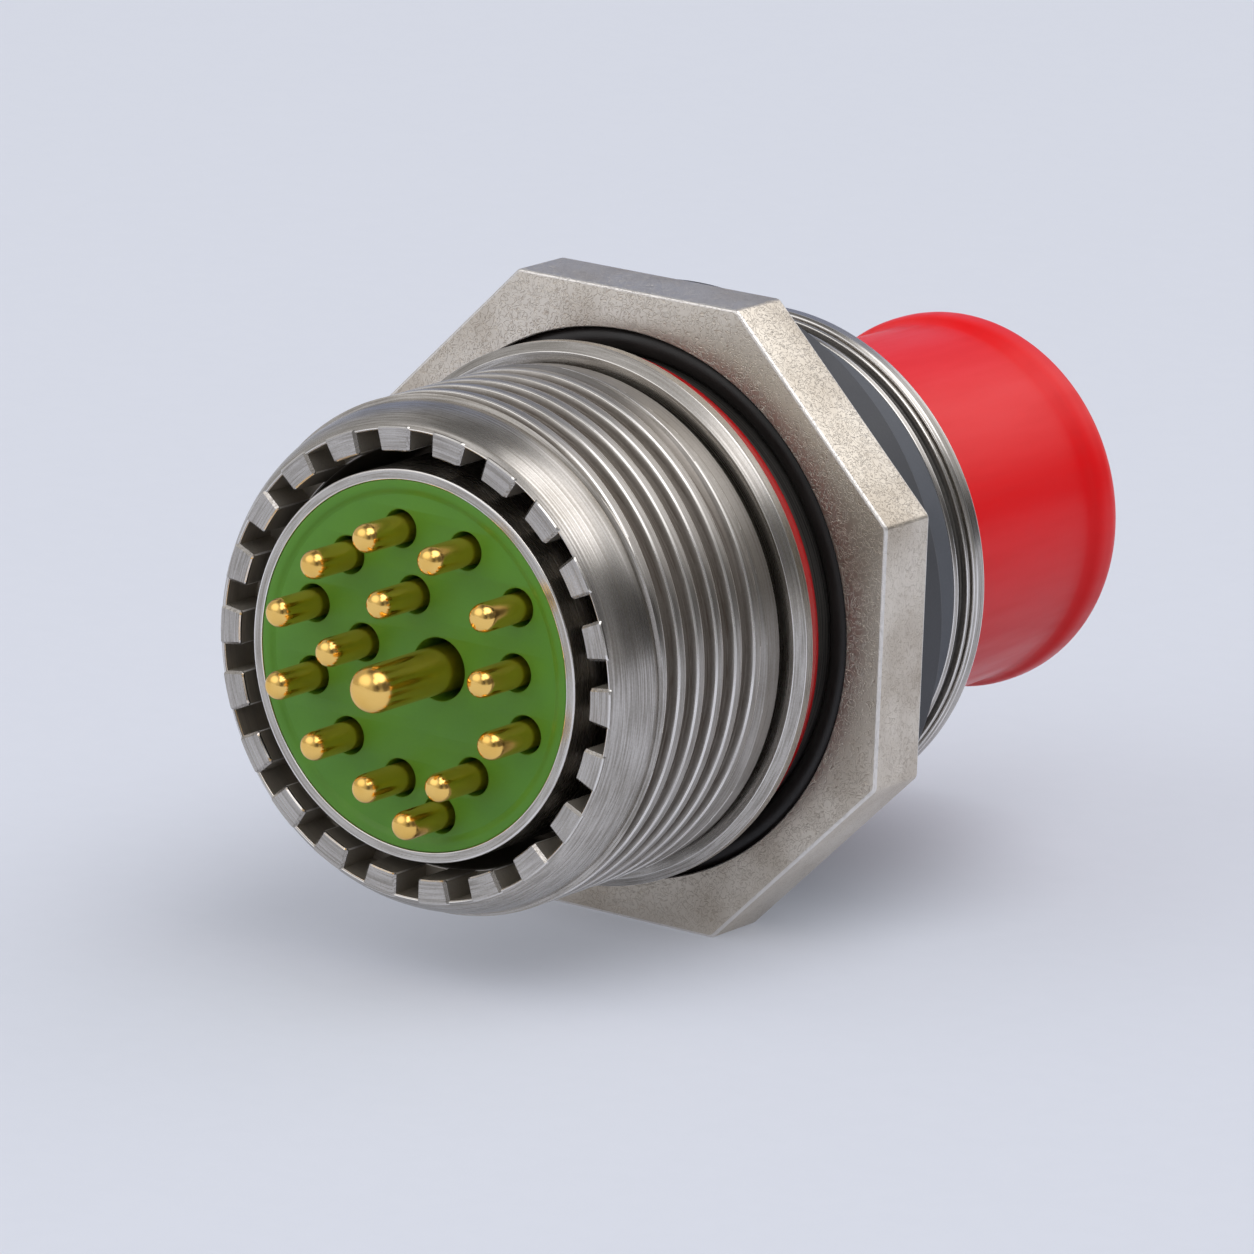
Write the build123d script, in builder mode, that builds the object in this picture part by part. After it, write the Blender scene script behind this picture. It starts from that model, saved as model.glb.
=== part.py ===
from build123d import *
import os

# Jam-nut receptacle, millimetres. The connector axis is Y, the mating face is at y = 0 and faces -Y,
# and a flat of the nut faces down. A radius ends in _r, a length along the axis in _len.

# Clearances
seat = 0.05
thread_clear = 0.05
pin_clear = 0.05
ring_clear = 0.2

# Mating rim and nose of the shell
rim_r = 13.0
rim_chamfer = 0.35
rim_wall = 0.4
tooth_height = 1.1
slot_count = 22
slot_width = 1.45
slot_len = 2.8
moat_len = 10.4
moat_gap = 0.93
nose_len = 2.9
nose_flare = 0.75

# Coupling thread, drawn as one ridge for each crest
crest_height = 1.05
thread_depth = 0.7
thread_pitch = 1.65
thread_ridges = 6
land_drop = 0.2
land_gap = 0.15
land_len = 0.95
relief_step = 0.1
relief_len = 0.5

# Collar and red indicator band
collar_height = 1.9
collar_chamfer = 0.5
collar_len = 1.1
band_drop = 0.4
band_thickness = 0.65
band_len = 1.25

# Neck under the nut's O-ring, mounting thread, flange and tail
neck_step = 0.7
mount_height = 2.1
flange_height = 1.05
flange_len = 1.55
tail_drop = 0.15
tail_wall = 0.95
tail_len = 5.4

# Jam nut
nut_wall = 2.25
nut_gap = 1.45
nut_len = 4.1
nut_edge = 0.25
nut_corner_round = 0.6
nut_lip_len = 0.1

# Seals
o_ring_section_r = 0.76
o_ring_hold = 0.08
seal_web = 1.2
seal_lip_len = 0.05
seal_wall = 0.5
groove_seal_height = 1.0
groove_seal_len = 5.35

# Insert: sleeve, green face and insulators
sleeve_wall = 0.57
sleeve_edge = 0.12
sleeve_seat_height = 0.28
sleeve_seat_run = 0.35
sleeve_seat_lead = 0.15
lip_len = 1.45
sleeve_flange_height = 0.4
sleeve_flange_len = 1.0
face_rim_width = 0.55
face_recess = 0.15
face_len = 3.0
rear_insulator_len = 7.0
compression_ring_wall = 2.85
compression_ring_len = 1.0

# Contacts: places on the mating face, right and up from the axis, as shares of the insert's radius
contact_sites = [
    (-0.119, 0.728),
    (-0.456, 0.526),
    (0.310, 0.681),
    (-0.676, 0.224),
    (-0.016, 0.387),
    (0.657, 0.437),
    (-0.340, 0.068),
    (-0.667, -0.171),
    (0.658, 0.083),
    (-0.422, -0.459),
    (0.736, -0.239),
    (-0.072, -0.626),
    (0.405, -0.530),
    (0.197, -0.777),
]
power_site = (0.161, 0.012)
pin_r = 0.79
pin_reach = 3.4
hole_gap = 0.24
body_step = 0.23
body_len = 9.0
power_pin_r = 1.27
power_pin_reach = 6.55
power_hole_gap = 0.43
power_body_step = 0.33
clip_wall = 0.15
clip_len = 2.2

# Rear adapter
adapter_thread_len = 2.9
adapter_wall = 2.0
shoulder_height = 1.04
shoulder_len = 2.65
ridge_drop = 0.2
ridge_len = 0.4
ridge_groove_depth = 0.45
ridge_groove_len = 0.8
rear_ridge_len = 0.3
fine_groove_depth = 0.25
fine_groove_len = 0.2
shoulder_edge = 0.15
shoulder_draft = 0.04
barrel_step = 4.54
barrel_len = 12.2

# Dust cap
cap_wall = 1.05
cap_taper = 0.4
cap_bead_height = 0.5
cap_bead_len = 3.0
cap_bead_crown = 0.06
cap_len = 18.9
cap_end_wall = 1.2
cap_edge = 0.7

# Radii from the mating rim outwards
nose_r = rim_r + nose_flare
crest_r = rim_r + crest_height
thread_root_r = crest_r - thread_depth
land_r = crest_r - land_drop
relief_r = rim_r + relief_step
collar_r = rim_r + collar_height
band_r = collar_r - band_drop
neck_r = rim_r + neck_step
mount_r = rim_r + mount_height
flange_r = mount_r + flange_height
nut_bore_r = mount_r + thread_clear
nut_apothem = nut_bore_r + nut_wall
o_ring_outer_r = nut_bore_r + o_ring_hold
o_ring_r = o_ring_outer_r - o_ring_section_r
shoulder_r = rim_r + shoulder_height
barrel_r = shoulder_r - barrel_step
adapter_bore_r = barrel_r - adapter_wall
cap_bore_r = barrel_r + pin_clear
cap_mouth_r = cap_bore_r + cap_wall
cap_waist_r = cap_mouth_r - cap_taper
cap_bead_r = cap_waist_r + cap_bead_height

# Radii from the mating rim inwards
slot_root_r = rim_r - rim_wall
moat_r = slot_root_r - tooth_height
sleeve_r = moat_r - moat_gap
sleeve_seat_r = sleeve_r + sleeve_seat_height
lip_r = sleeve_seat_r + seat
sleeve_bore_r = sleeve_r - sleeve_wall
insert_r = sleeve_bore_r - seat
insert_bore_r = lip_r + sleeve_flange_height
rear_insert_r = insert_bore_r - seat
tail_r = rim_r - tail_drop
groove_seal_r = tail_r + groove_seal_height
adapter_counterbore_r = tail_r - tail_wall
adapter_thread_r = adapter_counterbore_r - thread_clear

# Stations along the axis, from the mating face backwards
thread_start = nose_len
thread_end = thread_start + thread_ridges * thread_pitch
land_start = thread_end + land_gap
land_end = land_start + land_len
collar_start = land_end + relief_len
band_start = collar_start + collar_len
band_end = band_start + band_len
nut_start = band_end + nut_gap
nut_end = nut_start + nut_len
o_ring_station = nut_start + nut_lip_len + seat + o_ring_section_r
nut_groove_end = o_ring_station + o_ring_section_r + seat
mount_start = o_ring_station + o_ring_section_r + ring_clear
seal_start = nut_end + seat
flange_start = seal_start + seal_web
flange_end = flange_start + flange_len
shell_end = flange_end + tail_len
lip_start = moat_len
sleeve_seat_start = lip_start - sleeve_seat_lead
sleeve_end = lip_start + lip_len + seat + sleeve_flange_len
rear_insulator_start = sleeve_end + seat
grommet_start = rear_insulator_start + rear_insulator_len
shoulder_start = shell_end + seat
shoulder_end = shoulder_start + shoulder_len
adapter_start = shoulder_start - adapter_thread_len
grommet_end = adapter_start - compression_ring_len
barrel_end = shoulder_end + barrel_len
cap_start = shoulder_end + seat
cap_end = cap_start + cap_len
contact_shoulder = rear_insulator_start + clip_len

MATING_FACE = Plane.XZ
os.makedirs("parts", exist_ok=True)


def turn(outline, mode=Mode.ADD):
    """Turns a closed outline of (radius, station) corners about the connector axis."""
    with BuildSketch(Plane.XY) as profile:
        with BuildLine():
            Polyline(*outline, close=True)
        make_face()
    revolve(profile.sketch, axis=Axis.Y, mode=mode)


def ring(inner_r, outer_r, start, end):
    """A plain turned ring between two stations."""
    turn([(inner_r, start), (outer_r, start), (outer_r, end), (inner_r, end)])


def disc(outer_r, start, end):
    """A plain turned disc between two stations."""
    turn([(0, start), (outer_r, start), (outer_r, end), (0, end)])


def place(site):
    """Millimetre place of a contact from its share of the insert's radius."""
    return (site[0] * insert_r, site[1] * insert_r)


def contact_circles(small_r, large_r, plane):
    """Sketch with one circle for each contact."""
    with BuildSketch(plane) as circles:
        with Locations(*[place(site) for site in contact_sites]):
            Circle(small_r)
        with Locations(place(power_site)):
            Circle(large_r)
    return circles.sketch


def drill(small_r, large_r, start, end):
    """One hole for each contact, from station start to station end."""
    holes = contact_circles(small_r, large_r, MATING_FACE.offset(-start))
    extrude(holes, amount=start - end, mode=Mode.SUBTRACT)


def save(piece, name):
    """Labels a finished piece and writes its STEP file."""
    piece.part.label = name
    export_step(piece.part, f"parts/{name}.step")


def make_contact(site, tip_r, reach, shank_step, name):
    """A pin with a domed tip and a thicker crimp body behind its shoulder."""
    x, z = place(site)
    shank_r = tip_r + shank_step
    with BuildPart() as pin:
        with BuildSketch(Plane(origin=(x, 0, z), x_dir=(1, 0, 0), z_dir=(0, 0, 1))) as profile:
            with BuildLine():
                dome = CenterArc((0, tip_r - reach), tip_r, -90, 90)
                Polyline(
                    dome @ 1,
                    (tip_r, contact_shoulder),
                    (shank_r, contact_shoulder),
                    (shank_r, contact_shoulder + body_len),
                    (0, contact_shoulder + body_len),
                    dome @ 0,
                )
            make_face()
        revolve(profile.sketch, axis=Axis((x, 0, z), (0, 1, 0)))
    save(pin, name)


# Shell: one turned body with a slotted mating rim
thread_outline = []
for ridge in range(thread_ridges):
    foot = thread_start + ridge * thread_pitch
    thread_outline += [
        (thread_root_r, foot + 0.15 * thread_pitch),
        (crest_r, foot + 0.35 * thread_pitch),
        (crest_r, foot + 0.75 * thread_pitch),
        (thread_root_r, foot + 0.95 * thread_pitch),
    ]
with BuildPart() as shell:
    turn(
        [
            (moat_r, 0),
            (rim_r - rim_chamfer, 0),
            (rim_r, rim_chamfer),
            (rim_r + nose_flare * 0.7, nose_len * 0.4),
            (nose_r, nose_len * 0.8),
            (nose_r, nose_len),
            *thread_outline,
            (thread_root_r, thread_end),
            (land_r, land_start),
            (land_r, land_end),
            (relief_r, land_end),
            (relief_r, collar_start),
            (collar_r - collar_chamfer, collar_start),
            (collar_r, collar_start + collar_chamfer),
            (collar_r, band_start),
            (band_r - band_thickness, band_start),
            (band_r - band_thickness, band_end),
            (neck_r, band_end),
            (neck_r, mount_start),
            (mount_r, mount_start),
            (mount_r, flange_start),
            (flange_r, flange_start),
            (flange_r, flange_end),
            (tail_r, flange_end),
            (tail_r, shell_end),
            (adapter_counterbore_r, shell_end),
            (adapter_counterbore_r, adapter_start - seat),
            (insert_bore_r, adapter_start - seat),
            (insert_bore_r, lip_start + lip_len),
            (lip_r, lip_start + lip_len),
            (lip_r, lip_start),
            (moat_r, lip_start),
        ]
    )
    with BuildSketch(MATING_FACE):
        with PolarLocations(slot_root_r - tooth_height, slot_count, start_angle=180 / slot_count):
            Rectangle(tooth_height * 2, slot_width)
    extrude(amount=-slot_len, mode=Mode.SUBTRACT)
save(shell, "shell")

# Red indicator band in its seat behind the collar
with BuildPart() as indicator_band:
    ring(band_r - band_thickness, band_r, band_start, band_end)
save(indicator_band, "indicator_band")

# Octagonal jam nut with rounded corners, chamfered edges and an O-ring groove inside its mouth
with BuildPart() as jam_nut:
    with BuildSketch(MATING_FACE.offset(-nut_start)):
        RegularPolygon(nut_apothem, 8, major_radius=False, rotation=22.5)
    extrude(amount=-nut_len)
    fillet(jam_nut.edges().filter_by(Axis.Y), nut_corner_round)
    chamfer(jam_nut.edges().group_by(Axis.Y)[0] + jam_nut.edges().group_by(Axis.Y)[-1], nut_edge)
    turn(
        [
            (0, nut_start),
            (nut_bore_r, nut_start),
            (nut_bore_r, nut_start + nut_lip_len),
            (o_ring_outer_r + seat, nut_start + nut_lip_len),
            (o_ring_outer_r + seat, nut_groove_end),
            (nut_bore_r, nut_groove_end),
            (nut_bore_r, nut_end),
            (0, nut_end),
        ],
        mode=Mode.SUBTRACT,
    )
save(jam_nut, "jam_nut")

# O-ring carried in the groove inside the nut's mouth
with BuildPart() as nut_o_ring:
    with BuildSketch(Plane.XY):
        with Locations((o_ring_r, o_ring_station)):
            Circle(o_ring_section_r)
    revolve(axis=Axis.Y)
save(nut_o_ring, "nut_o_ring")

# Panel seal, moulded over the front face and edge of the flange
with BuildPart() as panel_seal:
    turn(
        [
            (mount_r + seat, seal_start),
            (flange_r + seat + seal_wall, seal_start),
            (flange_r + seat + seal_wall, flange_end + seal_lip_len),
            (flange_r + seat, flange_end + seal_lip_len),
            (flange_r + seat, flange_start - seat),
            (mount_r + seat, flange_start - seat),
        ]
    )
save(panel_seal, "panel_seal")

# Rubber ring on the shell's tail, behind the flange
with BuildPart() as groove_seal:
    ring(tail_r + seat, groove_seal_r, flange_end + seat, flange_end + seat + groove_seal_len)
save(groove_seal, "groove_seal")

# Rear adapter: shoulder with two ridges and a broad rim, thread into the shell and barrel for the cap
with BuildPart() as rear_adapter:
    ridge_r = shoulder_r - ridge_drop
    ridge_end = shoulder_start + ridge_len
    rear_ridge = ridge_end + ridge_groove_len
    fine_groove = rear_ridge + rear_ridge_len
    last_ridge = fine_groove + fine_groove_len
    turn(
        [
            (adapter_bore_r, adapter_start),
            (adapter_thread_r, adapter_start),
            (adapter_thread_r, shoulder_start),
            (ridge_r, shoulder_start),
            (ridge_r, ridge_end),
            (ridge_r - ridge_groove_depth, ridge_end),
            (ridge_r - ridge_groove_depth, rear_ridge),
            (ridge_r, rear_ridge),
            (ridge_r, fine_groove),
            (ridge_r - fine_groove_depth, fine_groove),
            (ridge_r - fine_groove_depth, last_ridge),
            (shoulder_r - shoulder_edge, last_ridge),
            (shoulder_r, last_ridge + shoulder_edge),
            (shoulder_r - shoulder_draft, shoulder_end),
            (barrel_r, shoulder_end),
            (barrel_r, barrel_end),
            (adapter_bore_r, barrel_end),
        ]
    )
save(rear_adapter, "rear_adapter")

# Dust cap: tapered cup with a rounded bead round its closed end
with BuildPart() as dust_cap:
    turn(
        [
            (0, cap_end),
            (0, cap_end - cap_end_wall),
            (cap_bore_r, cap_end - cap_end_wall),
            (cap_bore_r, cap_start),
            (cap_mouth_r, cap_start),
            (cap_waist_r, cap_end - cap_bead_len),
            (cap_bead_r - cap_bead_crown, cap_end - cap_bead_len * 0.75),
            (cap_bead_r, cap_end - cap_bead_len * 0.5),
            (cap_bead_r - cap_bead_crown, cap_end),
        ]
    )
    fillet(dust_cap.edges().group_by(Axis.Y)[-1], cap_edge)
save(dust_cap, "dust_cap")

# Insert sleeve: its seat fills the shell's inner lip and its flange sits behind the lip
with BuildPart() as insert_sleeve:
    turn(
        [
            (sleeve_bore_r, 0),
            (sleeve_r - sleeve_edge, 0),
            (sleeve_r, sleeve_edge),
            (sleeve_r, sleeve_seat_start - sleeve_seat_run),
            (sleeve_seat_r, sleeve_seat_start),
            (sleeve_seat_r, lip_start + lip_len + seat),
            (rear_insert_r, lip_start + lip_len + seat),
            (rear_insert_r, sleeve_end),
            (sleeve_bore_r, sleeve_end),
        ]
    )
save(insert_sleeve, "insert_sleeve")

# Green insert face with a raised rim
with BuildPart() as face_seal:
    turn(
        [
            (0, face_recess),
            (insert_r - face_rim_width, face_recess),
            (insert_r - face_rim_width, 0),
            (insert_r, 0),
            (insert_r, face_len),
            (0, face_len),
        ]
    )
    drill(pin_r + hole_gap, power_pin_r + power_hole_gap, 0, face_len)
save(face_seal, "face_seal")

# Rigid insulator that lines up the pins
with BuildPart() as front_insulator:
    disc(insert_r, face_len, sleeve_end)
    drill(pin_r + pin_clear, power_pin_r + pin_clear, face_len, sleeve_end)
save(front_insulator, "front_insulator")

# Holes for the contact bodies, the same through the rear insulator and the grommet
body_hole_r = pin_r + body_step + pin_clear
power_body_hole_r = power_pin_r + power_body_step + pin_clear

# Rigid insulator round the contact bodies
with BuildPart() as rear_insulator:
    disc(rear_insert_r, rear_insulator_start, grommet_start)
    drill(body_hole_r, power_body_hole_r, rear_insulator_start, grommet_start)
save(rear_insulator, "rear_insulator")

# Soft wire grommet
with BuildPart() as wire_grommet:
    disc(rear_insert_r, grommet_start, grommet_end)
    drill(body_hole_r, power_body_hole_r, grommet_start, grommet_end)
save(wire_grommet, "wire_grommet")

# Ring that the rear adapter presses on the grommet
with BuildPart() as compression_ring:
    ring(rear_insert_r - compression_ring_wall, rear_insert_r, grommet_end, adapter_start)
save(compression_ring, "compression_ring")

# Retention clips, one in front of each contact's shoulder
clip_bore_r = pin_r + pin_clear
power_clip_bore_r = power_pin_r + pin_clear
with BuildPart() as contact_clips:
    clip_face = MATING_FACE.offset(-rear_insulator_start)
    extrude(
        contact_circles(clip_bore_r + clip_wall, power_clip_bore_r + clip_wall, clip_face),
        amount=-clip_len,
    )
    drill(clip_bore_r, power_clip_bore_r, rear_insulator_start, contact_shoulder)
save(contact_clips, "contact_clips")

# Gold pin contacts
for number, site in enumerate(contact_sites, start=1):
    make_contact(site, pin_r, pin_reach, body_step, f"contact_{number:02d}")
make_contact(power_site, power_pin_r, power_pin_reach, power_body_step, "power_contact")
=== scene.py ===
"""Looks of the jam-nut receptacle: turned pieces, finishes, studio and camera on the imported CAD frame.

Everything is in metres in the CAD frame: the connector axis is Y, the mating face looks along -Y and
+Z is up. Sizes in the classes are in millimetres, as on a drawing.
"""

import logging
import math
from dataclasses import dataclass
from enum import Enum
from typing import Any, Sequence

import bmesh
import bpy
from mathutils import Matrix, Vector


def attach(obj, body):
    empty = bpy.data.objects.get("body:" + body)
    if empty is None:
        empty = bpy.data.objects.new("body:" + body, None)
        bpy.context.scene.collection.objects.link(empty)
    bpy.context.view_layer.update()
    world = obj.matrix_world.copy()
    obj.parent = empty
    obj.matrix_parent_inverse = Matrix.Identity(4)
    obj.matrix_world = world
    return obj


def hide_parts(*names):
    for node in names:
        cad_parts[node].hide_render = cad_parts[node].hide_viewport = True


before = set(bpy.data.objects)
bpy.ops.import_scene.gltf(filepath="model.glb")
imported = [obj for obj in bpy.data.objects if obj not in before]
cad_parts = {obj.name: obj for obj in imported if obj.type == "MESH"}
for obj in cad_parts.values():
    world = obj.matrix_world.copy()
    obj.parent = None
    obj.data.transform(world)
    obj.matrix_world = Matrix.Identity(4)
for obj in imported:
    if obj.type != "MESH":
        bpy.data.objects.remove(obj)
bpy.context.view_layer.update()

MM = 0.001
HOLD = 0.015  # millimetres from a rounding to the point that keeps the next flat flat
EASE_LIMIT = 0.48  # most of a side that one rounding may take
SHARP = 38.0  # degrees past which an edge is shaded sharp
LOG = logging.getLogger("receptacle")

Corner = tuple[float, float, float]  # radius, station and rounding
Hole = tuple[float, float, float]  # place to the right, place up and radius
Point = tuple[float, float]
Spot = tuple[float, float, float]
Loop = list[Spot]
Piece = bpy.types.Object
Material = bpy.types.Material
Tree = bpy.types.NodeTree
Socket = bpy.types.NodeSocket
Inputs = dict[Any, Any] | Sequence[Any]

# Node types and settings that many trees use
MATH, RANGE, XYZ = "ShaderNodeMath", "ShaderNodeMapRange", "ShaderNodeCombineXYZ"
NOISE, MIX, BUMP = "ShaderNodeTexNoise", "ShaderNodeMix", "ShaderNodeBump"
ADD, SUBTRACT, MULTIPLY = {"operation": "ADD"}, {"operation": "SUBTRACT"}, {"operation": "MULTIPLY"}
DIVIDE, MAXIMUM = {"operation": "DIVIDE"}, {"operation": "MAXIMUM"}
SMOOTH, COLOUR = {"interpolation_type": "SMOOTHSTEP"}, {"data_type": "RGBA"}


class Body(Enum):
    """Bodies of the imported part."""

    RECEPTACLE = "receptacle"
    NUT_SEAL = "nut_seal"
    JAM_NUT = "jam_nut"
    DUST_CAP = "dust_cap"


# Shapes


def eased(corners: Sequence[Corner], steps: int = 4) -> list[Point]:
    """Rounds the corners of a closed outline, with a point close beside each rounding.

    Args:
        corners: radius, station along the axis and length of the rounding, in millimetres.
        steps: segments in each rounding.

    Returns:
        The outline as (radius, station) points in millimetres.
    """
    points: list[Point] = []
    for index, (radius, station, ease) in enumerate(corners):
        here = Vector((radius, station))
        if ease <= 0:
            points.append((radius, station))
            continue
        before = Vector(corners[index - 1][:2]) - here
        after = Vector(corners[(index + 1) % len(corners)][:2]) - here
        reach_before, reach_after = min(ease, before.length * EASE_LIMIT), min(ease, after.length * EASE_LIMIT)
        start = here + before.normalized() * reach_before
        end = here + after.normalized() * reach_after
        spots = []
        if reach_before + HOLD < before.length * EASE_LIMIT:
            spots.append(here + before.normalized() * (reach_before + HOLD))
        for step in range(steps + 1):
            share = step / steps
            spots.append(start * (1 - share) ** 2 + here * (2 * share * (1 - share)) + end * share**2)
        if reach_after + HOLD < after.length * EASE_LIMIT:
            spots.append(here + after.normalized() * (reach_after + HOLD))
        points += [(spot.x, spot.y) for spot in spots]
    return points


def around(radius: float, station: float, turn: float, centre: Point = (0.0, 0.0)) -> Spot:
    """Place at an angle round the Y axis, or round a parallel axis through centre.

    Args:
        radius: distance from the axis in millimetres.
        station: place along the axis in millimetres.
        turn: angle in radians.
        centre: place of the axis (right, up) in millimetres.

    Returns:
        The place in metres.
    """
    return (
        (centre[0] + radius * math.cos(turn)) * MM,
        station * MM,
        (centre[1] + radius * math.sin(turn)) * MM,
    )


def placed(name: str, data: bpy.types.ID) -> Piece:
    """Puts a new object in the scene, at the origin.

    Args:
        name: name of the object.
        data: its mesh, curve or camera.

    Returns:
        The object.
    """
    piece = bpy.data.objects.new(name, data)
    bpy.context.scene.collection.objects.link(piece)
    return piece


def evaluated(piece: Piece) -> bpy.types.Mesh:
    """Plain mesh of an object as its modifiers or its curve settings leave it."""
    bpy.context.view_layer.update()
    return bpy.data.meshes.new_from_object(piece.evaluated_get(bpy.context.evaluated_depsgraph_get()))


def solid_object(name: str, mesh: bmesh.types.BMesh, sharp: float = SHARP) -> Piece:
    """Turns a bmesh into an object with outward faces and smooth shading between sharp edges.

    Args:
        name: name of the new object.
        mesh: the closed mesh, which is freed.
        sharp: angle in degrees past which an edge is shaded sharp.

    Returns:
        The new object, at the origin.
    """
    bmesh.ops.recalc_face_normals(mesh, faces=mesh.faces)
    data = bpy.data.meshes.new(name)
    mesh.to_mesh(data)
    mesh.free()
    data.shade_smooth()
    data.set_sharp_from_angle(angle=math.radians(sharp))
    return placed(name, data)


def skin(name: str, loops: Sequence[Loop], sharp: float = SHARP) -> Piece:
    """Closes a surface over a ring of loops that all hold as many points, or one point at a pole.

    Args:
        name: name of the new object.
        loops: points of each loop in metres; the last loop joins the first unless both are poles.
        sharp: angle in degrees past which an edge is shaded sharp.

    Returns:
        The new mesh object, at the origin.
    """
    mesh = bmesh.new()
    rows = [[mesh.verts.new(point) for point in loop] for loop in loops]
    sides = max(len(row) for row in rows)
    for near, far in zip(rows, rows[1:] + rows[:1]):
        if len(near) == 1 and len(far) == 1:
            continue
        for side in range(sides):
            corners = ((near, side), (near, side + 1), (far, side + 1), (far, side))
            mesh.faces.new(list(dict.fromkeys(row[place % sides % len(row)] for row, place in corners)))
    return solid_object(name, mesh, sharp)


def bridge(mesh: bmesh.types.BMesh, columns: Sequence[Sequence[bmesh.types.BMVert]]) -> None:
    """Joins each closed column of points to the next with four-sided faces.

    Args:
        mesh: the bmesh that holds the points.
        columns: the columns, all with as many points.
    """
    for near, far in zip(columns, columns[1:]):
        for row in range(len(near)):
            following = (row + 1) % len(near)
            mesh.faces.new((near[row], near[following], far[following], far[row]))


def turned(name: str, outline: Sequence[Point], sides: int = 192, centre: Point = (0.0, 0.0)) -> Piece:
    """Turns a closed outline about the Y axis, or about a parallel axis through centre.

    Args:
        name: name of the new object.
        outline: radius and station of each point in millimetres; a radius of nothing is a pole.
        sides: points in each turn.
        centre: place of the axis (right, up) in millimetres.

    Returns:
        The new mesh object, at the origin.
    """
    turns = [math.tau * side / sides for side in range(sides)]
    loops = [
        [around(radius, station, turn, centre) for turn in (turns if radius >= 1e-6 else [0.0])]
        for radius, station in outline
    ]
    return skin(name, loops)


def holed_disc(name: str, radius: float, holes: Sequence[Hole], start: float, end: float, ease: float) -> Piece:
    """Disc across the axis with round holes and rounded rims.

    Args:
        name: name of the new object.
        radius: outer radius in millimetres.
        holes: place (right, up) and radius of each hole in millimetres.
        start: station of the front face in millimetres.
        end: station of the back face in millimetres.
        ease: rounding of every rim in millimetres.

    Returns:
        The new mesh object, at the origin.
    """
    curve = bpy.data.curves.new(name, "CURVE")
    curve.dimensions = "2D"
    curve.fill_mode = "BOTH"
    curve.extrude = ((end - start) / 2 - ease) * MM
    curve.bevel_depth = ease * MM
    curve.bevel_resolution = 2
    curve.offset = -ease * MM
    for right, up, size, sides in [(0.0, 0.0, radius, 180)] + [(*hole, 48) for hole in holes]:
        spline = curve.splines.new("POLY")
        spline.points.add(sides - 1)
        spline.use_cyclic_u = True
        for side, point in enumerate(spline.points):
            across, _, upward = around(size, 0.0, math.tau * side / sides, (right, up))
            point.co = (across, upward, 0.0, 1.0)
    source = placed(name + "_curve", curve)
    data = evaluated(source)
    bpy.data.objects.remove(source)
    data.transform(Matrix.Translation((0.0, (start + end) / 2 * MM, 0.0)) @ Matrix.Rotation(math.pi / 2, 4, "X"))
    mesh = bmesh.new()
    mesh.from_mesh(data)
    bmesh.ops.remove_doubles(mesh, verts=mesh.verts, dist=1e-7)
    return solid_object(name, mesh)


def joined(name: str, parts: Sequence[Piece]) -> Piece:
    """Joins finished meshes into one object and removes the parts.

    Args:
        name: name of the new object.
        parts: the finished objects.

    Returns:
        The new mesh object, at the origin.
    """
    mesh = bmesh.new()
    for part in parts:
        mesh.from_mesh(part.data)
    for part in parts:
        bpy.data.objects.remove(part)
    return solid_object(name, mesh)


def mark_worn_highlit_edges(piece: Piece, width: float = 0.11, angle: float = 8.0, least: float = 0.45) -> None:
    """Stores a face attribute that is 1 on narrow faces along outward edges, where the nickel finishes paint burnish
    and a highlight.

    Args:
        piece: the finished object.
        width: widest face that counts, in millimetres.
        angle: least outward bend in degrees along the face's long sides.
        least: least share of the face's outline that has to bend so.
    """
    mesh = bmesh.new()
    mesh.from_mesh(piece.data)
    bend = math.radians(angle)
    worn = []
    for face in mesh.faces:
        outline = face.calc_perimeter()
        bent = sum(edge.calc_length() for edge in face.edges if edge.calc_face_angle_signed(0.0) > bend)
        worn.append(float(2 * face.calc_area() < width * MM * outline and bent > least * outline))
    mesh.free()
    piece.data.attributes.new("wear_and_highlight", "FLOAT", "FACE").data.foreach_set("value", worn)


# Node trees


def linear(colour: str) -> tuple[float, float, float, float]:
    """Turns a colour to linear RGBA.

    Args:
        colour: sRGB hex value such as #C41E1E.

    Returns:
        Its linear red, green and blue, and an alpha of 1.
    """
    parts = [int(colour[place : place + 2], 16) / 255 for place in (1, 3, 5)]
    red, green, blue = [part / 12.92 if part <= 0.04045 else ((part + 0.055) / 1.055) ** 2.4 for part in parts]
    return (red, green, blue, 1.0)


def feed(node: bpy.types.Node, inputs: Inputs) -> None:
    """Sets or links the inputs of a node.

    Args:
        node: the node.
        inputs: value, sRGB hex colour or output socket of each input, by name or number or else in order.
    """
    pairs = inputs.items() if isinstance(inputs, dict) else enumerate(inputs)
    for key, value in pairs:
        if isinstance(value, Socket):
            node.id_data.links.new(value, node.inputs[key])
        else:
            node.inputs[key].default_value = linear(value) if isinstance(value, str) else value


def add(tree: Tree, kind: str, inputs: Inputs = (), output: int | str = 0, **settings: Any) -> Socket:
    """Adds one node to a tree.

    Args:
        tree: the node tree.
        kind: the node's type name.
        inputs: value, sRGB hex colour or output socket of each input, by name or number or else in order.
        output: name or number of the output that is wanted.
        **settings: properties to set on the node first.

    Returns:
        That output; its node holds the others.
    """
    node = tree.nodes.new(kind)
    for name, value in settings.items():
        setattr(node, name, value)
    feed(node, inputs)
    return node.outputs[output]


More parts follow.
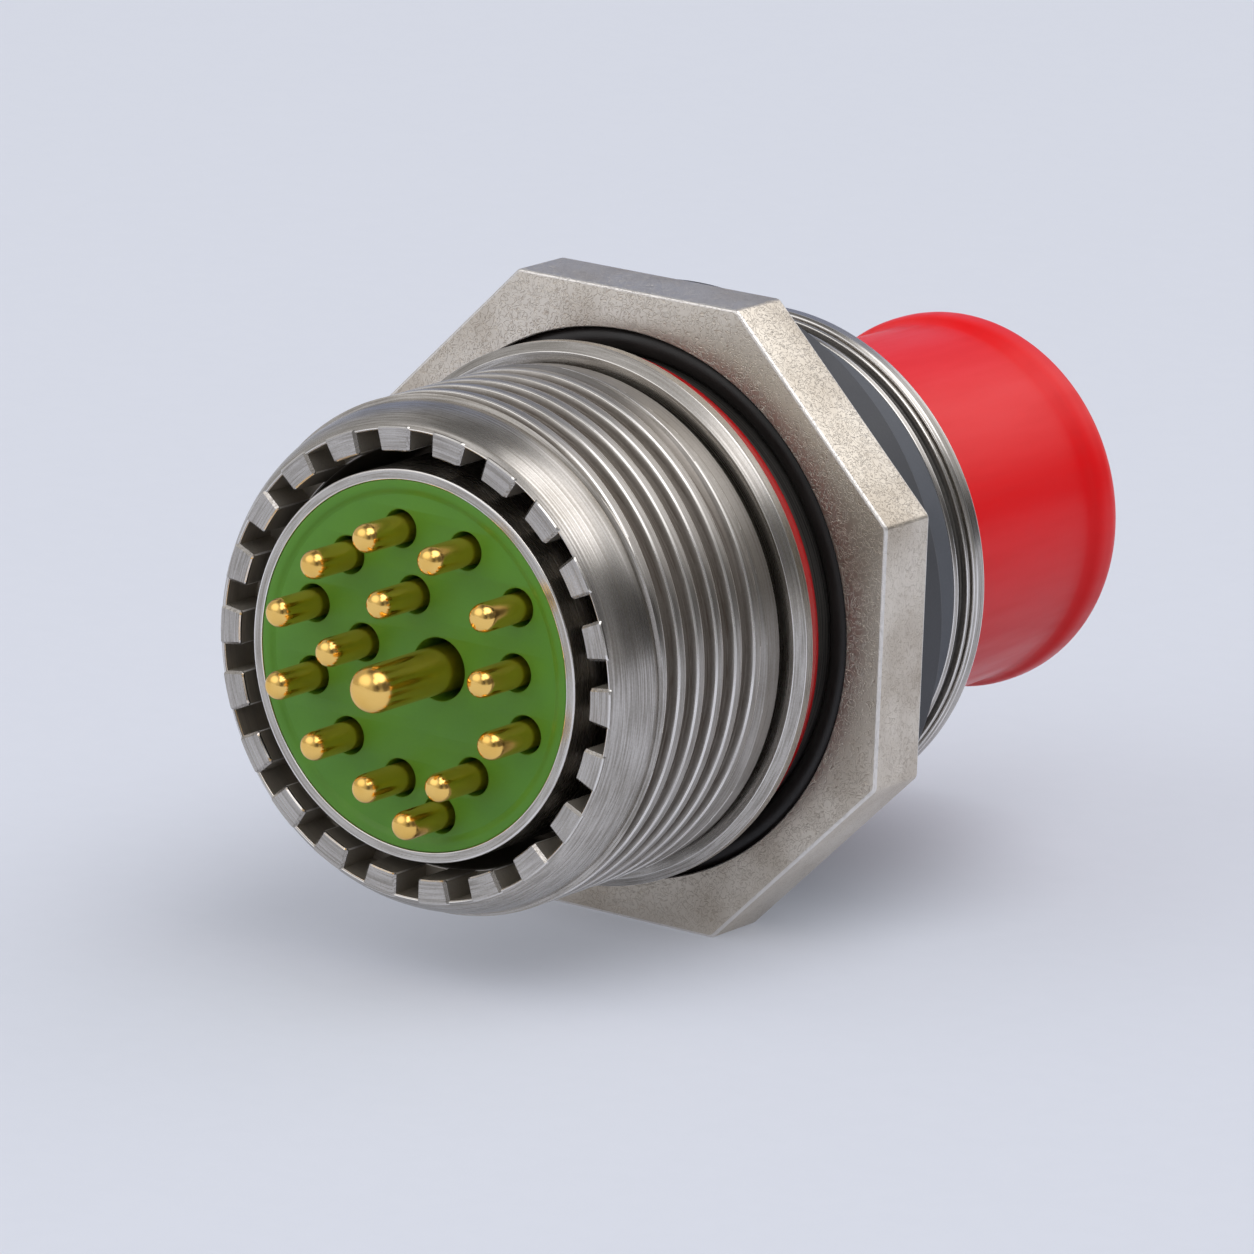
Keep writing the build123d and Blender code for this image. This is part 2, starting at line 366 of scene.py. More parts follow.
def new_tree(name: str, sockets: dict[str, str]) -> tuple[Tree, Any]:
    """Starts a Geometry Nodes tree.

    Args:
        name: name of the tree.
        sockets: socket type of each input between the geometry and the material.

    Returns:
        The tree, and its inputs by name.
    """
    tree = bpy.data.node_groups.new(name, "GeometryNodeTree")
    for label, kind in ({"Geometry": "NodeSocketGeometry"} | sockets | {"Material": "NodeSocketMaterial"}).items():
        tree.interface.new_socket(name=label, in_out="INPUT", socket_type=kind)
    tree.interface.new_socket(name="Geometry", in_out="OUTPUT", socket_type="NodeSocketGeometry")
    return tree, tree.nodes.new("NodeGroupInput").outputs


def close_tree(tree: Tree, result: Socket, material: Socket) -> Tree:
    """Ends a tree in Realize Instances and Set Material.

    Args:
        tree: the Geometry Nodes tree.
        result: its geometry.
        material: the material that all of it gets.

    Returns:
        The tree.
    """
    real = add(tree, "GeometryNodeRealizeInstances", (result,))
    dressed = add(tree, "GeometryNodeSetMaterial", {"Geometry": real, "Material": material})
    feed(tree.nodes.new("NodeGroupOutput"), (dressed,))
    return tree


def modified(piece: Piece, tree: Tree, inputs: dict[str, Any]) -> Piece:
    """Runs a Geometry Nodes tree on a piece and keeps the result as its plain mesh.

    Args:
        piece: object whose mesh goes into the tree.
        tree: the Geometry Nodes tree.
        inputs: value of each named input.

    Returns:
        The same object with the new mesh and no modifier.
    """
    modifier = piece.modifiers.new(tree.name, "NODES")
    modifier.node_group = tree
    sockets = {item.name: item.identifier for item in tree.interface.items_tree if item.in_out == "INPUT"}
    for name, value in inputs.items():
        modifier[sockets[name]] = value
    data = evaluated(piece)
    piece.modifiers.clear()
    piece.data = data
    data.shade_smooth()
    data.set_sharp_from_angle(angle=math.radians(SHARP))
    return piece


def rim_tree() -> Tree:
    """Tree that repeats one tooth round the connector axis.

    Returns:
        The tree, with the number of teeth as its input Count.
    """
    tree, given = new_tree("rim_teeth", {"Count": "NodeSocketInt"})
    spots = add(tree, "GeometryNodePoints", {"Count": given["Count"]})
    step = add(tree, MATH, (math.tau, given["Count"]), **DIVIDE)
    turn = add(tree, MATH, (add(tree, "GeometryNodeInputIndex"), step), **MULTIPLY)
    rotation = add(tree, XYZ, {1: turn})
    tooth = {"Points": spots, "Instance": given["Geometry"], "Rotation": rotation}
    return close_tree(tree, add(tree, "GeometryNodeInstanceOnPoints", tooth), given["Material"])


def sites_tree() -> Tree:
    """Tree that sets one contact on each point of the contact pattern.

    Returns:
        The tree, with the contact's object as its input Contact.
    """
    tree, given = new_tree("contacts_on_sites", {"Contact": "NodeSocketObject"})
    contact = add(tree, "GeometryNodeObjectInfo", {"Object": given["Contact"]}, "Geometry")
    sites = {"Points": given["Geometry"], "Instance": contact}
    return close_tree(tree, add(tree, "GeometryNodeInstanceOnPoints", sites), given["Material"])


def thread_tree() -> Tree:
    """Tree that cuts a multi-start thread into a turned blank by drawing its surface towards the axis.

    Returns:
        The tree, with the thread's sizes in metres and shares of the pitch as its inputs.
    """
    lengths = ("Pitch", "Depth", "Edge Drop", "Start", "End", "Run In", "Run Out", "Blank Radius")
    floats = {name: "NodeSocketFloat" for name in (*lengths, "Crest Share", "Edge Share", "Flank Share")}
    tree, size = new_tree("cut_thread", floats | {"Starts": "NodeSocketInt"})
    across, along, up = add(tree, "ShaderNodeSeparateXYZ", (add(tree, "GeometryNodeInputPosition"),)).node.outputs
    angle = add(tree, MATH, (up, across), operation="ARCTAN2")
    squares = [add(tree, MATH, (side, side), **MULTIPLY) for side in (across, up)]
    radius = add(tree, MATH, (add(tree, MATH, squares, **ADD),), operation="SQRT")
    # The phase runs from 0 to 1 between two crests, and the helix climbs by the starts in one turn.
    advance = add(tree, MATH, (add(tree, MATH, (along, size["Start"]), **SUBTRACT), size["Pitch"]), **DIVIDE)
    climb = add(tree, MATH, (add(tree, MATH, (angle, math.tau), **DIVIDE), size["Starts"]), **MULTIPLY)
    phase = add(tree, MATH, (add(tree, MATH, (advance, climb), **SUBTRACT),), operation="FRACT")
    doubled = add(tree, MATH, (phase, 2.0), **MULTIPLY)
    from_valley = add(tree, MATH, (add(tree, MATH, (doubled, 1.0), **SUBTRACT),), operation="ABSOLUTE")
    # The section from the valley outwards: floor, flank, bevelled edge and flat crest.
    crest_edge = add(tree, MATH, (1.0, size["Crest Share"]), **SUBTRACT)
    flank_foot = add(tree, MATH, (crest_edge, size["Flank Share"]), **SUBTRACT)
    groove = add(tree, RANGE, (from_valley, flank_foot, crest_edge, 1.0, 0.0), **SMOOTH)
    flat_edge = add(tree, MATH, (crest_edge, size["Edge Share"]), **ADD)
    bevel = add(tree, RANGE, (from_valley, crest_edge, flat_edge, size["Edge Drop"], 0.0))
    deep = add(tree, MATH, (add(tree, MATH, (groove, size["Depth"]), **MULTIPLY), bevel), **ADD)
    entry = add(tree, RANGE, (along, size["Start"], size["Run In"], 0.0, 1.0))
    leave = add(tree, RANGE, (along, size["Run Out"], size["End"], 1.0, 0.0))
    cut = add(tree, MATH, (add(tree, MATH, (deep, entry), **MULTIPLY), leave), **MULTIPLY)
    share = add(tree, MATH, (add(tree, MATH, (radius, cut), **SUBTRACT), radius), **DIVIDE)
    drawn = [add(tree, MATH, (side, share), **MULTIPLY) for side in (across, up)]
    spot = add(tree, XYZ, (drawn[0], along, drawn[1]))
    compare = "FunctionNodeCompare"
    on_blank = add(tree, compare, (radius, size["Blank Radius"]), data_type="FLOAT", operation="GREATER_EQUAL")
    in_band = add(tree, compare, (along, size["End"]), data_type="FLOAT", operation="LESS_EQUAL")
    both = add(tree, "FunctionNodeBooleanMath", (on_blank, in_band), operation="AND")
    moved = {"Geometry": size["Geometry"], "Selection": both, "Position": spot}
    return close_tree(tree, add(tree, "GeometryNodeSetPosition", moved), size["Material"])


# Finishes


def new_material(name: str) -> tuple[Material, Tree, bpy.types.Node, Socket]:
    """Starts a material.

    Args:
        name: name of the material.

    Returns:
        The material, its tree, its Principled BSDF and the place on the piece.
    """
    material = bpy.data.materials.new(name)
    material.use_nodes = True
    tree = material.node_tree
    return material, tree, tree.nodes["Principled BSDF"], add(tree, "ShaderNodeTexCoord", (), "Object")


@dataclass(frozen=True)
class Recess:
    """Ring-shaped place in a turned piece with a dull film whose colour paints shade into the hollow: full at the
    inner radius, gone at the outer.
    """

    inner: float
    outer: float
    start: float
    end: float
    most: float = 0.95
    least: float = 0.0
    film_and_shade: str = "#6A6051"


@dataclass(frozen=True)
class TurnedNickel:
    """Nickel plate over turned metal: satin, warm grey, with tool marks round the axis and burnished edges painted
    lighter as a highlight.
    """

    name: str
    colour: str = "#CCC7C1"
    tarnish: str = "#8A847B"
    burnish_highlight: str = "#F3EFEA"
    roughness: float = 0.27
    brushing: float = 0.4
    mark_mm: float = 0.09
    mark_depth_mm: float = 0.004
    mark_fade: float = 0.03
    grain_mm: float = 0.12
    grain_depth_mm: float = 0.002
    cloud_mm: float = 4.0
    recesses: tuple[Recess, ...] = ()

    def build(self) -> Material:
        """Makes the material.

        Returns:
            The material.
        """
        material, tree, shader, place = new_material(self.name)
        parts = add(tree, "ShaderNodeSeparateXYZ", (place,)).node.outputs
        flat = add(tree, XYZ, {0: parts[0], 2: parts[2]})
        radius = add(tree, "ShaderNodeVectorMath", (flat,), "Value", operation="LENGTH")
        # Streaks follow the turning: they run round the axis and fade within a few millimetres.
        aside = add(tree, MATH, (add(tree, MATH, (parts[0], parts[2]), **ADD), self.mark_fade), **MULTIPLY)
        round_axis = add(tree, XYZ, (radius, parts[1], aside))
        marks = add(tree, NOISE, {"Vector": round_axis, "Scale": 1 / (self.mark_mm * MM), "Detail": 3.0})
        grain = add(tree, NOISE, {"Vector": place, "Scale": 1 / (self.grain_mm * MM), "Detail": 2.0})
        cloud = add(tree, NOISE, {"Vector": place, "Scale": 1 / (self.cloud_mm * MM), "Detail": 3.0})
        clouded = add(tree, RANGE, (cloud, 0.35, 0.7, 0.0, 0.25), **SMOOTH)
        marked = add(tree, RANGE, (marks, 0.35, 0.68, 0.0, 0.55), **SMOOTH)
        grained = add(tree, RANGE, (grain, 0.35, 0.6, 0.12, 0.0), **SMOOTH)
        tone = add(tree, MATH, (add(tree, MATH, (clouded, marked), **ADD), grained), **ADD)
        tone = add(tree, MATH, (tone, 1.0), operation="MINIMUM")
        colour = add(tree, MIX, {0: tone, 6: self.colour, 7: self.tarnish}, 2, **COLOUR)
        # Recesses get a dull film, streaked by the tool marks. Its colour is painted shade that darkens the hollows;
        # on the slot floors the film is paler, a painted lift of their shade.
        streaks = add(tree, RANGE, (marks, 0.3, 0.7, 1.0, 0.55), **SMOOTH)
        film_and_shade: Any = 0.0
        for recess in self.recesses:
            limits = (recess.inner * MM, recess.outer * MM, recess.most, recess.least)
            deep = add(tree, RANGE, (radius, *limits), **SMOOTH)
            behind = add(tree, MATH, (parts[1], recess.start * MM), operation="GREATER_THAN")
            before = add(tree, MATH, (parts[1], recess.end * MM), operation="LESS_THAN")
            along = add(tree, MATH, (behind, before), **MULTIPLY)
            share = add(tree, MATH, (add(tree, MATH, (deep, along), **MULTIPLY), streaks), **MULTIPLY)
            colour = add(tree, MIX, {0: share, 6: colour, 7: recess.film_and_shade}, 2, **COLOUR)
            film_and_shade = add(tree, MATH, (film_and_shade, share), **MAXIMUM)
        # Burnish and a painted highlight come and go along the edges: the edges are painted lighter.
        edge = add(tree, "ShaderNodeAttribute", (), "Fac", attribute_name="wear_and_highlight")
        wear_and_highlight = add(tree, MATH, (edge, add(tree, RANGE, (cloud, 0.3, 0.65, 0.45, 1.0), **SMOOTH)), **MULTIPLY)
        bare = add(tree, MATH, (1.0, add(tree, MATH, (film_and_shade, 0.55), **MULTIPLY)), **SUBTRACT)
        satin = add(tree, RANGE, (marks, 0.3, 0.7, self.roughness - 0.05, self.roughness + 0.07), **SMOOTH)
        dull = add(tree, MATH, (satin, add(tree, MATH, (film_and_shade, 0.25), **MULTIPLY)), **ADD)
        lines = add(tree, BUMP, {"Strength": 0.7, "Distance": self.mark_depth_mm * MM, "Height": marks})
        pits = {"Strength": 0.6, "Distance": self.grain_depth_mm * MM, "Height": grain, "Normal": lines}
        feed(
            shader,
            {
                "Base Color": add(tree, MIX, {0: wear_and_highlight, 6: colour, 7: self.burnish_highlight}, 2, **COLOUR),
                "Metallic": bare,
                "Anisotropic": self.brushing,
                "Tangent": add(tree, XYZ, {1: 1.0}),
                "Roughness": add(tree, MATH, (dull, add(tree, MATH, (wear_and_highlight, 0.06), **MULTIPLY)), **SUBTRACT),
                "Normal": add(tree, BUMP, pits),
            },
        )
        return material


@dataclass(frozen=True)
class EtchedNickel:
    """Matt nickel over a milled nut: pale and warm, with a worm-like etch and burnished edges painted lighter as a
    highlight.
    """

    name: str = "etched_nickel_nut"
    colour: str = "#E8DFD1"
    tarnish: str = "#A99A87"
    burnish_highlight: str = "#EEE9E3"
    roughness: float = 0.34
    worm_mm: float = 0.38
    worm_depth_mm: float = 0.012
    channel: float = 0.045
    cloud_mm: float = 5.0

    def build(self) -> Material:
        """Makes the material.

        Returns:
            The material.
        """
        material, tree, shader, place = new_material(self.name)
        winding = {"Vector": place, "Scale": 1 / (self.worm_mm * MM), "Detail": 1.0, "Distortion": 1.6}
        # Channels 0.05 mm wide wind between flat islands about 0.3 mm across.
        off_middle = add(tree, MATH, (add(tree, NOISE, winding), 0.5), **SUBTRACT)
        away = add(tree, MATH, (off_middle,), operation="ABSOLUTE")
        island = add(tree, RANGE, (away, 0.0, self.channel, 0.0, 1.0), **SMOOTH)
        cloud = add(tree, NOISE, {"Vector": place, "Scale": 1 / (self.cloud_mm * MM), "Detail": 4.0})
        clouded = add(tree, RANGE, (cloud, 0.35, 0.75, 0.05, 0.5), **SMOOTH)
        sunk = add(tree, MATH, (add(tree, MATH, (1.0, island), **SUBTRACT), 0.3), **MULTIPLY)
        tone = add(tree, MATH, (clouded, sunk), **ADD)
        colour = add(tree, MIX, {0: tone, 6: self.colour, 7: self.tarnish}, 2, **COLOUR)
        # Burnished edges, painted lighter as a highlight.
        wear_and_highlight = add(tree, "ShaderNodeAttribute", (), "Fac", attribute_name="wear_and_highlight")
        rough = (cloud, 0.3, 0.7, self.roughness - 0.04, self.roughness + 0.04)
        feed(
            shader,
            {
                "Base Color": add(tree, MIX, {0: wear_and_highlight, 6: colour, 7: self.burnish_highlight}, 2, **COLOUR),
                "Metallic": 1.0,
                "Roughness": add(tree, RANGE, rough, **SMOOTH),
                "Normal": add(tree, BUMP, {"Strength": 1.0, "Distance": self.worm_depth_mm * MM, "Height": island}),
            },
        )
        return material


@dataclass(frozen=True)
class Elastomer:
    """Moulded rubber: dull, nearly even, with a faint bloom and a fine skin texture."""

    name: str
    colour: str
    bloom: str
    roughness: float = 0.55
    bloom_share: float = 0.35
    bloom_mm: float = 2.5
    skin_mm: float = 0.12
    skin_depth_mm: float = 0.006
    painted_indirect_colour: str = ""
    painted_indirect_share: float = 0.25

    def build(self) -> Material:
        """Makes the material.

        Returns:
            The material.
        """
        material, tree, shader, place = new_material(self.name)
        pores = add(tree, NOISE, {"Vector": place, "Scale": 1 / (self.skin_mm * MM), "Detail": 3.0})
        cloud = add(tree, NOISE, {"Vector": place, "Scale": 1 / (self.bloom_mm * MM), "Detail": 4.0})
        bloomed = add(tree, RANGE, (cloud, 0.3, 0.75, 0.0, self.bloom_share), **SMOOTH)
        speckled = add(tree, RANGE, (pores, 0.4, 0.75, 0.0, 0.15), **SMOOTH)
        tone = add(tree, MATH, (bloomed, speckled), **ADD)
        colour = add(tree, MIX, {0: tone, 6: self.colour, 7: self.bloom}, 2, **COLOUR)
        if self.painted_indirect_colour:
            # Painted reflection: mirrored in the gold it is given a warmer colour than it has by itself.
            mirrored = add(tree, "ShaderNodeLightPath", (), "Is Glossy Ray")
            share = add(tree, MATH, (mirrored, self.painted_indirect_share), **MULTIPLY)
            colour = add(tree, MIX, {0: share, 6: colour, 7: self.painted_indirect_colour}, 2, **COLOUR)
        rough = (cloud, 0.3, 0.7, self.roughness - 0.05, self.roughness + 0.07)
        feed(
            shader,
            {
                "Base Color": colour,
                "Roughness": add(tree, RANGE, rough, **SMOOTH),
                "Normal": add(tree, BUMP, {"Strength": 0.5, "Distance": self.skin_depth_mm * MM, "Height": pores}),
            },
        )
        return material


@dataclass(frozen=True)
class MouldedPlastic:
    """Injection-moulded plastic: deep even colour, a soft sheen and a faint flow along the axis."""

    name: str
    colour: str
    deep: str
    roughness: float = 0.36
    sheen: float = 0.3
    ior: float = 1.5
    painted_indirect_colour: str = "#6A4A46"
    painted_indirect_share: float = 0.75
    translucency: float = 0.12
    depth_mm: float = 0.6
    flow_mm: float = 1.2
    flow_stretch: Spot = (1.0, 0.12, 1.0)
    peel_mm: float = 0.5
    peel_depth_mm: float = 0.010

    def build(self) -> Material:
        """Makes the material.

        Returns:
            The material.
        """
        material, tree, shader, place = new_material(self.name)
        stretched = add(tree, "ShaderNodeMapping", {"Vector": place, "Scale": self.flow_stretch})
        flow = add(tree, NOISE, {"Vector": stretched, "Scale": 1 / (self.flow_mm * MM), "Detail": 4.0})
        peel = add(tree, NOISE, {"Vector": place, "Scale": 1 / (self.peel_mm * MM), "Detail": 2.0})
        path = add(tree, "ShaderNodeLightPath").node.outputs
        # Painted bounce and reflection: diffuse and glossy rays see a dull brown in place of the red, so that paper
        # and nickel near by pick up only a little red.
        bounced = add(tree, MATH, (path["Is Diffuse Ray"], path["Is Glossy Ray"]), **MAXIMUM)
        share = add(tree, MATH, (bounced, self.painted_indirect_share), **MULTIPLY)
        flowed = add(tree, RANGE, (flow, 0.35, 0.75, 0.0, 0.4), **SMOOTH)
        direct = add(tree, MIX, {0: flowed, 6: self.colour, 7: self.deep}, 2, **COLOUR)
        rough = (flow, 0.3, 0.7, self.roughness - 0.04, self.roughness + 0.06)
        feed(
            shader,
            {
                "Base Color": add(tree, MIX, {0: share, 6: direct, 7: self.painted_indirect_colour}, 2, **COLOUR),
                "Roughness": add(tree, RANGE, rough, **SMOOTH),
                "IOR": self.ior,
                "Specular IOR Level": self.sheen,
                "Subsurface Weight": self.translucency,
                "Subsurface Radius": (1.0, 0.25, 0.2),
                "Subsurface Scale": self.depth_mm * MM,
                "Normal": add(tree, BUMP, {"Strength": 0.4, "Distance": self.peel_depth_mm * MM, "Height": peel}),
            },
        )
        return material


@dataclass(frozen=True)
class GoldPlate:
    """Gold plate on turned contacts: bright and warm, with hair-fine turning lines along the pin."""

    name: str = "gold_plate_turned"
    colour: str = "#FFD278"
    worn: str = "#EDB64E"
    roughness: float = 0.15
    brushing: float = 0.6
    line_mm: float = 0.06
    line_stretch: Spot = (0.1, 1.0, 0.1)
    line_depth_mm: float = 0.002
    cloud_mm: float = 1.6

    def build(self) -> Material:
        """Makes the material.

        Returns:
            The material.
        """
        material, tree, shader, place = new_material(self.name)
        squeezed = add(tree, "ShaderNodeMapping", {"Vector": place, "Scale": self.line_stretch})
        lines = add(tree, NOISE, {"Vector": squeezed, "Scale": 1 / (self.line_mm * MM), "Detail": 2.0})
        cloud = add(tree, NOISE, {"Vector": place, "Scale": 1 / (self.cloud_mm * MM), "Detail": 2.0})
        clouded = add(tree, RANGE, (cloud, 0.4, 0.7, 0.0, 0.35), **SMOOTH)
        feed(
            shader,
            {
                "Base Color": add(tree, MIX, {0: clouded, 6: self.colour, 7: self.worn}, 2, **COLOUR),
                "Metallic": 1.0,
                "Anisotropic": self.brushing,
                "Tangent": add(tree, XYZ, {1: 1.0}),
                "Roughness": add(tree, RANGE, (cloud, 0.3, 0.7, self.roughness, self.roughness + 0.05), **SMOOTH),
                "Normal": add(tree, BUMP, {"Strength": 0.5, "Distance": self.line_depth_mm * MM, "Height": lines}),
            },
        )
        return material


# Sub-assemblies


@dataclass
class Dresser:
    """Hands finished pieces to the frame."""

    body: Body

    def hand_over(self, piece: Piece, finish: Material, slot: str, nodes: Sequence[str] = ()) -> None:
        """Gives a piece its material and body, and hides the CAD nodes that it stands for.

        Args:
            piece: the finished object.
            finish: its material.
            slot: not used.
            nodes: CAD nodes that it replaces.
        """
        piece.data.materials.clear()
        piece.data.materials.append(finish)
        mark_worn_highlit_edges(piece)
        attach(piece, self.body.value)
        if nodes:
            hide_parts(*nodes)
        LOG.info("%s: %d faces", piece.name, len(piece.data.polygons))


@dataclass
class Shell(Dresser):
    """Turned shell: slotted mating rim, nose, triple-start coupling thread, collar, neck, flange and tail."""

    rim_r: float = 13.0
    slot_root_r: float = 12.6
    tooth_r: float = 11.5
    tooth_back_r: float = 12.82
    teeth: int = 22
    slot_width: float = 1.45
    slot_depth: float = 2.8
    tooth_edge: float = 0.07
    tooth_end_edge: float = 0.16
    tooth_steps: int = 6
    tooth_bend: float = 50.0  # degrees past which an edge is broken
    overlap: float = 0.05
    nose_end: float = 2.95
    nose_r: float = 13.80
    nose: tuple[Corner, ...] = ((13.36, 0.95, 0.3), (13.62, 1.65, 0.4), (13.76, 2.35, 0.3))
    crest_r: float = 14.05
    thread_lead: float = 0.1
    thread_end: float = 12.5
    run_in: float = 0.6
    run_out: float = 1.3
    pitch: float = 1.70
    starts: int = 3
    thread_depth: float = 0.42
    edge_drop: float = 0.03
    crest_share: float = 0.36
    edge_share: float = 0.11
    flank_share: float = 0.20
    land_r: float = 13.88
    land_end: float = 13.88
    relief_r: float = 13.1
    collar_start: float = 14.4
    collar_chamfer: float = 0.5
    collar_r: float = 14.9
    collar_end: float = 15.5
    # Radius, station of the end and rounding there of each step behind the collar
    steps: tuple[Corner, ...] = (
        (13.85, 16.75, 0.0),  # seat of the red band
        (13.7, 20.07, 0.0),  # neck inside the O-ring
        (15.1, 23.55, 0.0),  # mounting thread
        (16.15, 25.1, 0.08),  # flange
        (12.85, 30.5, 0.0),  # tail
        (11.9, 27.6, 0.0),  # counterbore for the adapter
        (11.3, 11.85, 0.0),  # bore for the insulators
        (10.9, 10.4, 0.08),  # lip that stops the sleeve
    )
    # Phases of the rows in half a pitch, close together along the bevelled crest edge and the flank
    rising: tuple[float, ...] = (0.0, 0.065, 0.125, 0.18, 0.20, 0.215, 0.23, 0.245, 0.26, 0.28, 0.37)
    columns_each: int = 108

    def tooth(self) -> Piece:
        """One tooth of the rim at angle 0, between two parallel-sided slots.

        Returns:
            The tooth's object.
        """
        mesh = bmesh.new()
        columns = []
        root = self.nose_end - self.overlap
        section = ((self.tooth_r, root), (self.tooth_r, 0.0), (self.tooth_back_r, 0.0), (self.tooth_back_r, root))
        for step in range(self.tooth_steps + 1):
            share = 2 * step / self.tooth_steps - 1
            column = []
            for radius, station in section:
                half = (math.tau * radius / self.teeth - self.slot_width) / 2
                offset = share * half
                across = math.sqrt(radius**2 - offset**2)
                column.append(mesh.verts.new((across * MM, station * MM, offset * MM)))
            columns.append(column)
        bridge(mesh, columns)
        mesh.faces.new(columns[0])
        mesh.faces.new(columns[-1])
        bmesh.ops.recalc_face_normals(mesh, faces=mesh.faces)
        ends = [mesh.edges.get((column[1], column[2])) for column in (columns[0], columns[-1])]
        bmesh.ops.bevel(mesh, geom=ends, offset=self.tooth_end_edge * MM, segments=1, profile=0.5, affect="EDGES")
        edges = [edge for edge in mesh.edges if edge.calc_face_angle(0.0) > math.radians(self.tooth_bend)]
        bmesh.ops.bevel(mesh, geom=edges, offset=self.tooth_edge * MM, segments=1, profile=0.5, affect="EDGES")
        return solid_object("rim_teeth", mesh)

    def rim(self) -> Piece:
        """Thin ring outside the slots with the nose behind it.

        Returns:
            The ring's object.
        """
        outline = eased(
            [
                (self.slot_root_r, self.slot_depth, 0.15),
                (self.slot_root_r, 0.16, 0.04),
                (self.slot_root_r + 0.1, 0.08, 0.04),
                (self.rim_r, 0.36, 0.12),
                *self.nose,
                (self.nose_r, self.nose_end, 0.0),
                (self.tooth_r, self.nose_end, 0.0),
                (self.tooth_r, self.slot_depth, 0.06),
            ]
        )
        return turned("shell_rim", outline, 352)

    def behind_thread(self) -> list[Point]:
        """Outline from the end of the thread over the collar and the steps and back through the bore.

        Returns:
            Its points in millimetres.
        """
        corners = [
            (self.land_r + 0.07, self.thread_end, 0.0),
            (self.land_r + 0.04, self.thread_end + 0.25, 0.1),
            (self.land_r, self.land_end, 0.08),
            (self.relief_r, self.land_end + 0.05, 0.1),
            (self.relief_r, self.collar_start, 0.1),
            (self.collar_r - 0.48, self.collar_start, 0.03),
            (self.collar_r, self.collar_start + self.collar_chamfer, 0.03),
            (self.collar_r, self.collar_end, 0.05),
        ]
        station = self.collar_end
        for radius, end, ease in self.steps:
            corners += [(radius, station, 0.0), (radius, end, ease)]
            station = end
        return eased([*corners, (self.tooth_r, station, 0.3), (self.tooth_r, self.nose_end, 0.0)])

    def barrel(self) -> Piece:
        """Everything behind the nose, with rows of the thread blank that climb with the helix.

        Returns:
            The barrel's object, before the thread is cut.
        """
        in_front = [(13.55, self.nose_end), (13.78, self.nose_end + 0.02)]
        behind = self.behind_thread()
        phases = (*self.rising, 0.5, *(1 - phase for phase in self.rising[:0:-1]))
        start = self.nose_end + self.thread_lead
        turns = math.ceil((self.thread_end - start) / self.pitch) + 1
        advances = [(turn - 1 + phase) * self.pitch for turn in range(turns + 1) for phase in phases]
        mesh = bmesh.new()
        for sector in range(self.starts):
            columns = []
            for column in range(self.columns_each + 1):
                share = column / self.columns_each
                turn = math.tau * (sector + share) / self.starts
                climbs = [start + advance + share * self.pitch for advance in advances]
                rows = [(self.crest_r, min(max(climb, start), self.thread_end)) for climb in climbs]
                outline = in_front + rows + behind
                columns.append([mesh.verts.new(around(radius, station, turn)) for radius, station in outline])
            bridge(mesh, columns)
        bmesh.ops.remove_doubles(mesh, verts=mesh.verts, dist=0.0004 * MM)
        bmesh.ops.dissolve_degenerate(mesh, edges=mesh.edges, dist=0.0002 * MM)
        return solid_object("shell_barrel", mesh)

    def build(self, nickel: Material) -> None:
        """Makes the shell's three meshes and joins them into one piece.

        Args:
            nickel: finish of the shell.
        """
        sizes = {
            "Pitch": self.pitch,
            "Depth": self.thread_depth,
            "Edge Drop": self.edge_drop,
            "Start": self.nose_end + self.thread_lead,
            "End": self.thread_end,
            "Run In": self.nose_end + self.run_in,
            "Run Out": self.thread_end - self.run_out,
            "Blank Radius": self.crest_r - 0.001,
        }
        shares = {
            "Edge Share": self.edge_share,
            "Crest Share": self.crest_share,
            "Flank Share": self.flank_share,
            "Starts": self.starts,
            "Material": nickel,
        }
        thread = {name: size * MM for name, size in sizes.items()} | shares
        barrel = modified(self.barrel(), thread_tree(), thread)
        teeth = modified(self.tooth(), rim_tree(), {"Count": self.teeth, "Material": nickel})
        self.hand_over(joined("shell_turned", [barrel, self.rim(), teeth]), nickel, "satin_nickel", ["shell"])


